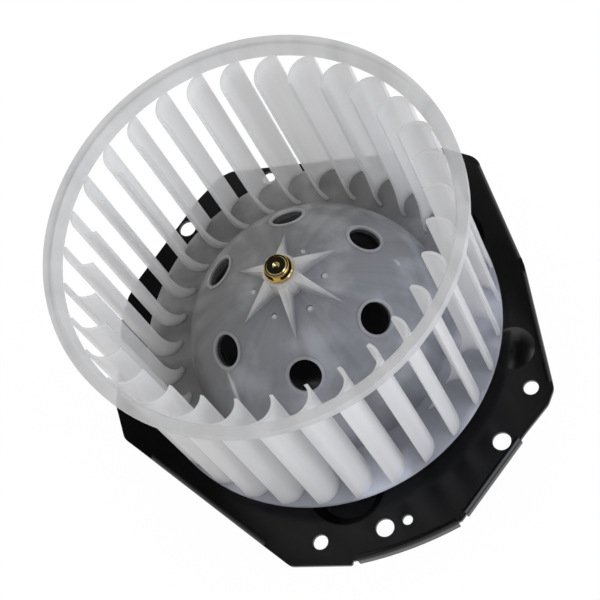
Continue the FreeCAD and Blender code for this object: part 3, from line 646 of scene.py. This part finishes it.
def lamp(name, place, size, tint, power):
    """A soft square lamp aimed at the object."""
    light = bpy.data.lights.new(name, "AREA")
    light.color = tint
    light.shape = "SQUARE"
    light.size = size
    light.energy = power
    holder = bpy.data.objects.new(name, light)
    holder.location = place
    aim = Vector(LAMP_TARGET) - Vector(place)
    holder.rotation_euler = aim.to_track_quat("-Z", "Y").to_euler()
    bpy.context.scene.collection.objects.link(holder)


def seen_white(recipe, white):
    """Mixes in plain white where the camera, a reflection or a clear part looks."""
    path = recipe.add("ShaderNodeLightPath")
    seen = recipe.number("MAXIMUM", path.outputs["Is Camera Ray"], path.outputs["Is Glossy Ray"])
    seen = recipe.number("MAXIMUM", seen, path.outputs["Is Transmission Ray"])
    glow = recipe.add("ShaderNodeEmission")
    glow.inputs["Strength"].default_value = FLOOR_GLOW
    mix = recipe.add("ShaderNodeMixShader")
    recipe.link(recipe.number("MULTIPLY", seen, white), mix.inputs["Fac"])
    recipe.link(recipe.shader.outputs["BSDF"], mix.inputs[1])
    recipe.link(glow.outputs["Emission"], mix.inputs[2])
    recipe.link(mix.outputs["Shader"], recipe.output.inputs["Surface"])


def lay_floor(stage):
    """A plain white floor under the object's lowest point."""
    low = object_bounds()[0][2]
    form = bmesh.new()
    bmesh.ops.create_grid(form, x_segments=1, y_segments=1, size=stage.floor_size / 2)
    bmesh.ops.translate(form, verts=form.verts, vec=(0.0, 0.0, low))
    mesh = bpy.data.meshes.new("floor")
    form.to_mesh(mesh)
    form.free()
    floor = bpy.data.objects.new("floor", mesh)
    bpy.context.scene.collection.objects.link(floor)
    recipe = Recipe("floor_white", FLOOR_COLOUR, 0.9)
    seen_white(recipe, stage.floor_white)
    mesh.materials.append(recipe.material)
    floor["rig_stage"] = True


def light_room(stage):
    """A white room, which reflections show dark overhead and pale at its sides."""
    world = bpy.data.worlds.new("room")
    world.use_nodes = True
    nodes, links = world.node_tree.nodes, world.node_tree.links
    background = nodes["Background"]
    background.inputs["Color"].default_value = (*WHITE, 1.0)
    heading = nodes.new("ShaderNodeNewGeometry")
    parts = nodes.new("ShaderNodeSeparateXYZ")
    steep = nodes.new("ShaderNodeMath")
    steep.operation = "ABSOLUTE"
    mirrored = nodes.new("ShaderNodeMapRange")
    mirrored.inputs["From Min"].default_value = WALL_TOP
    mirrored.inputs["From Max"].default_value = CEILING_EDGE
    mirrored.inputs["To Min"].default_value = stage.mirror_side
    mirrored.inputs["To Max"].default_value = stage.mirror_top
    links.new(heading.outputs["Incoming"], parts.inputs[0])
    links.new(parts.outputs["Z"], steep.inputs[0])
    links.new(steep.outputs[0], mirrored.inputs["Value"])
    path = nodes.new("ShaderNodeLightPath")
    strength = nodes.new("ShaderNodeMapRange")
    strength.inputs["To Min"].default_value = stage.world_light
    links.new(mirrored.outputs["Result"], strength.inputs["To Max"])
    links.new(path.outputs["Is Glossy Ray"], strength.inputs["Value"])
    links.new(strength.outputs["Result"], background.inputs["Strength"])
    bpy.context.scene.world = world


def set_camera(stage):
    """The camera, where the photograph was taken from."""
    scene = bpy.context.scene
    view = bpy.data.cameras.new("camera")
    view.lens = stage.lens
    view.sensor_width = 36.0
    camera = bpy.data.objects.new("camera", view)
    camera.location = stage.camera_place
    camera.rotation_euler = stage.camera_turn
    scene.collection.objects.link(camera)
    scene.camera = camera


class BLOWER_OT_stage(bpy.types.Operator):
    """Set the floor, the lamps, the room and the camera"""

    bl_idname = "blower.stage"
    bl_label = "Stage"

    def execute(self, context):
        stage = context.scene.blower_stage
        lay_floor(stage)
        for settings, power in zip(LAMPS, (stage.key_power, stage.fill_power, stage.back_power)):
            lamp(*settings, power)
        light_room(stage)
        context.scene.view_settings.view_transform = "Standard"
        set_camera(stage)
        return {"FINISHED"}


PIECES = (
    BLOWER_OT_wheel, BLOWER_OT_hub, BLOWER_OT_flange, BLOWER_OT_motor, BLOWER_OT_mounts,
    BLOWER_OT_socket, BLOWER_OT_inner, BLOWER_OT_stage)
SETTINGS = {
    "blower_wheel": WheelSettings, "blower_flange": FlangeSettings, "blower_metal": MetalSettings,
    "blower_motor": MotorSettings, "blower_stage": StageSettings}


class BLOWER_PT_panel(bpy.types.Panel):
    """Lists the pieces and their settings"""

    bl_idname = "BLOWER_PT_panel"
    bl_label = "Cabin Blower Motor"
    bl_space_type = "VIEW_3D"
    bl_region_type = "UI"
    bl_category = "Blower"

    def draw(self, context):
        layout = self.layout
        for piece in PIECES:
            layout.operator(piece.bl_idname)
        for name, settings in SETTINGS.items():
            box = layout.box()
            for prop in settings.__annotations__:
                box.prop(getattr(context.scene, name), prop)


def register():
    for settings in SETTINGS.values():
        bpy.utils.register_class(settings)
    for piece in PIECES + (BLOWER_PT_panel,):
        bpy.utils.register_class(piece)
    for name, settings in SETTINGS.items():
        setattr(bpy.types.Scene, name, PointerProperty(type=settings))


def unregister():
    for name in SETTINGS:
        delattr(bpy.types.Scene, name)
    for cls in (BLOWER_PT_panel,) + PIECES[::-1] + tuple(SETTINGS.values()):
        bpy.utils.unregister_class(cls)


def main():
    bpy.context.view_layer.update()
    register()
    for piece in PIECES:
        group, name = piece.bl_idname.split(".")
        getattr(getattr(bpy.ops, group), name)()


if __name__ == "__main__":
    main()
